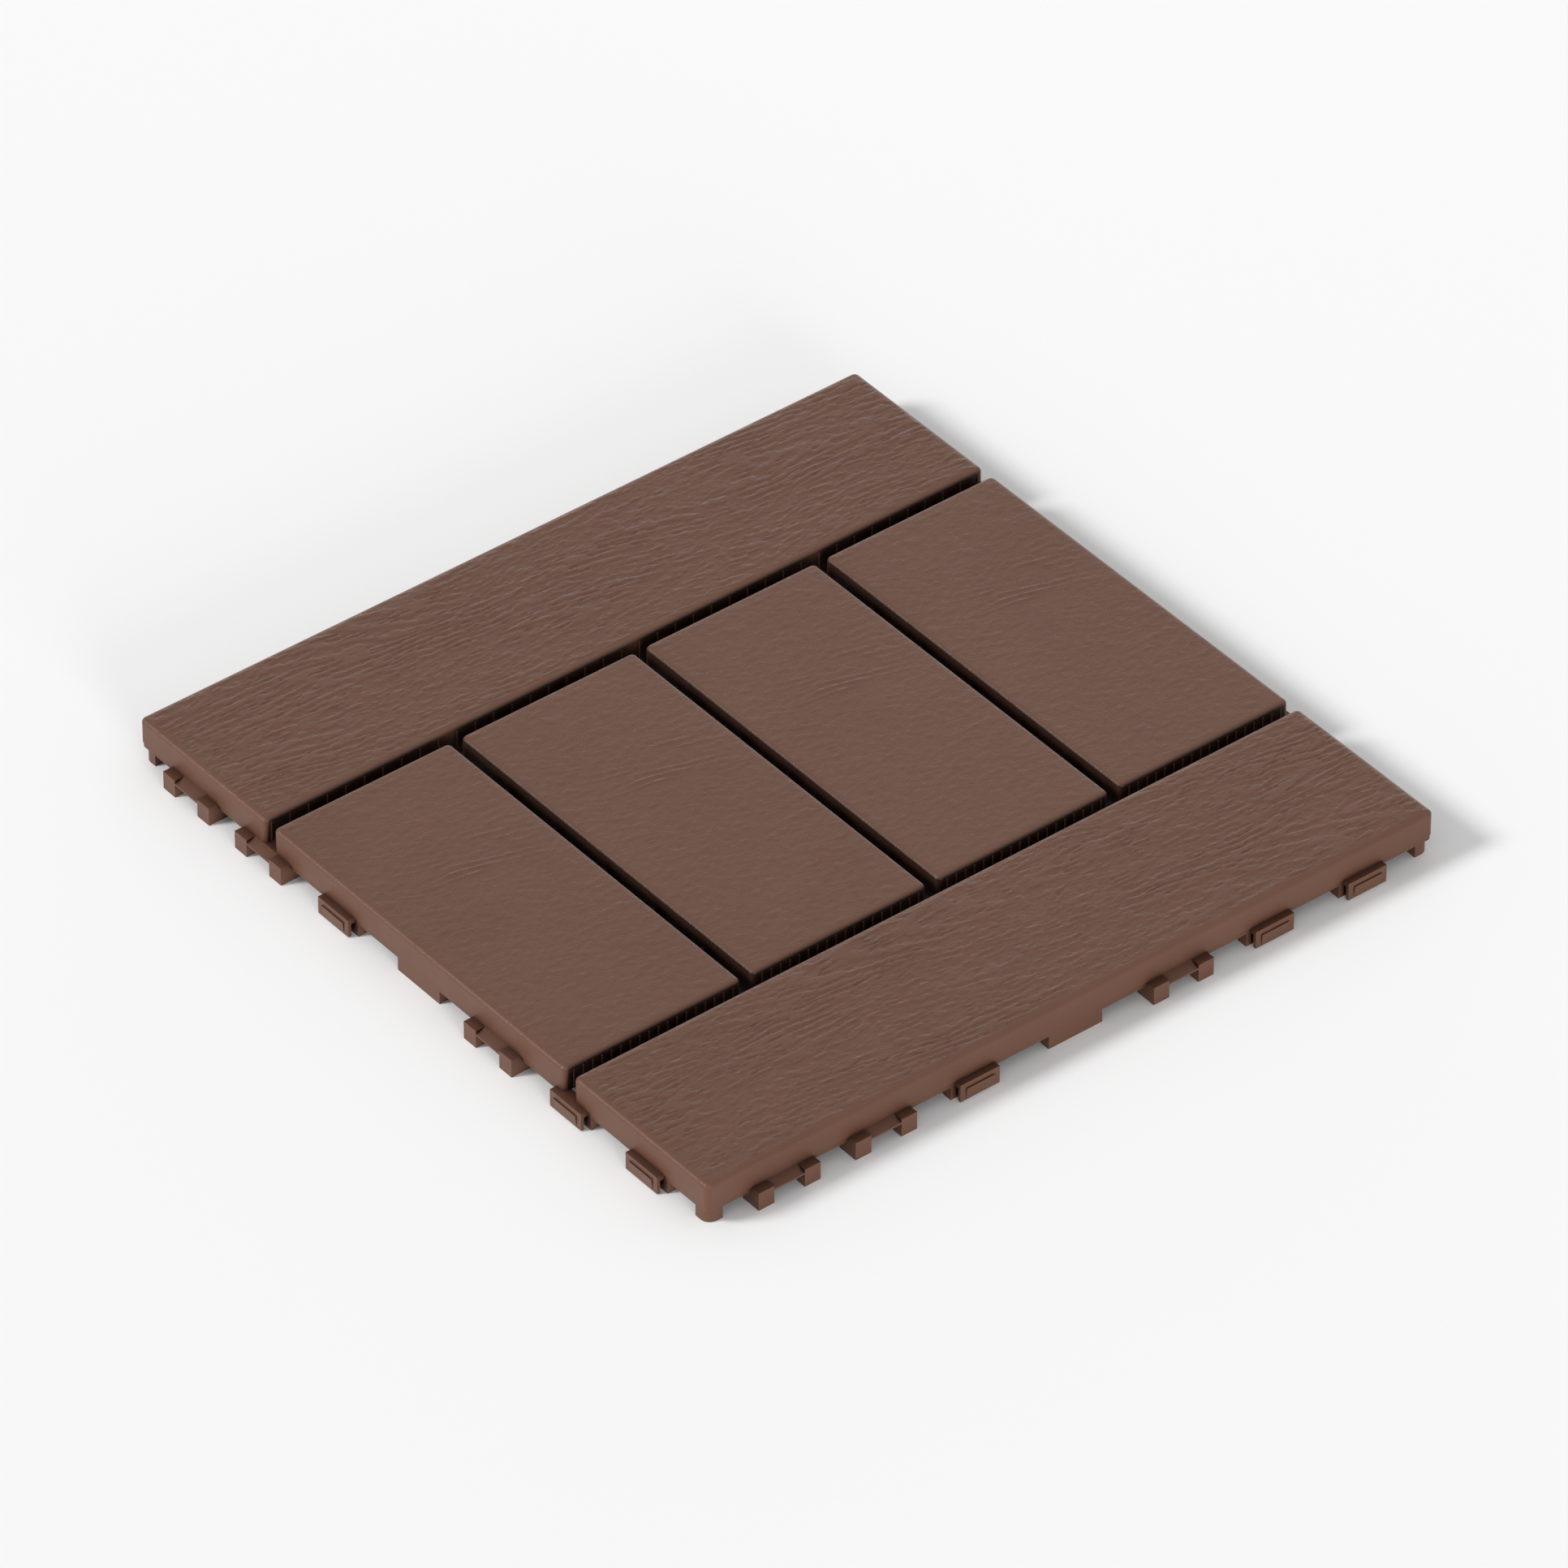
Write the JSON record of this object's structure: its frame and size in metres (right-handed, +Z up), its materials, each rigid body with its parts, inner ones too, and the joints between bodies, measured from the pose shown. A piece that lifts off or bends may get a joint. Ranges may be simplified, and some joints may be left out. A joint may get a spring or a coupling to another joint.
{
  "type": "interlocking deck tile",
  "caption": "Square slatted floor tile with two long border slats, short slats across between them, drain gaps and snap connectors on all sides.",
  "frame": {"origin": "on the ground under the middle of the tile", "axes": "+Z up through the walking face, +X along the two long border slats"},
  "size_m": [0.301, 0.301, 0.0165],
  "materials": {
    "brown_plastic": "matt"
  },
  "bodies": {
    "root": {"deck_tile": "brown_plastic"}
  },
  "joints": []
}
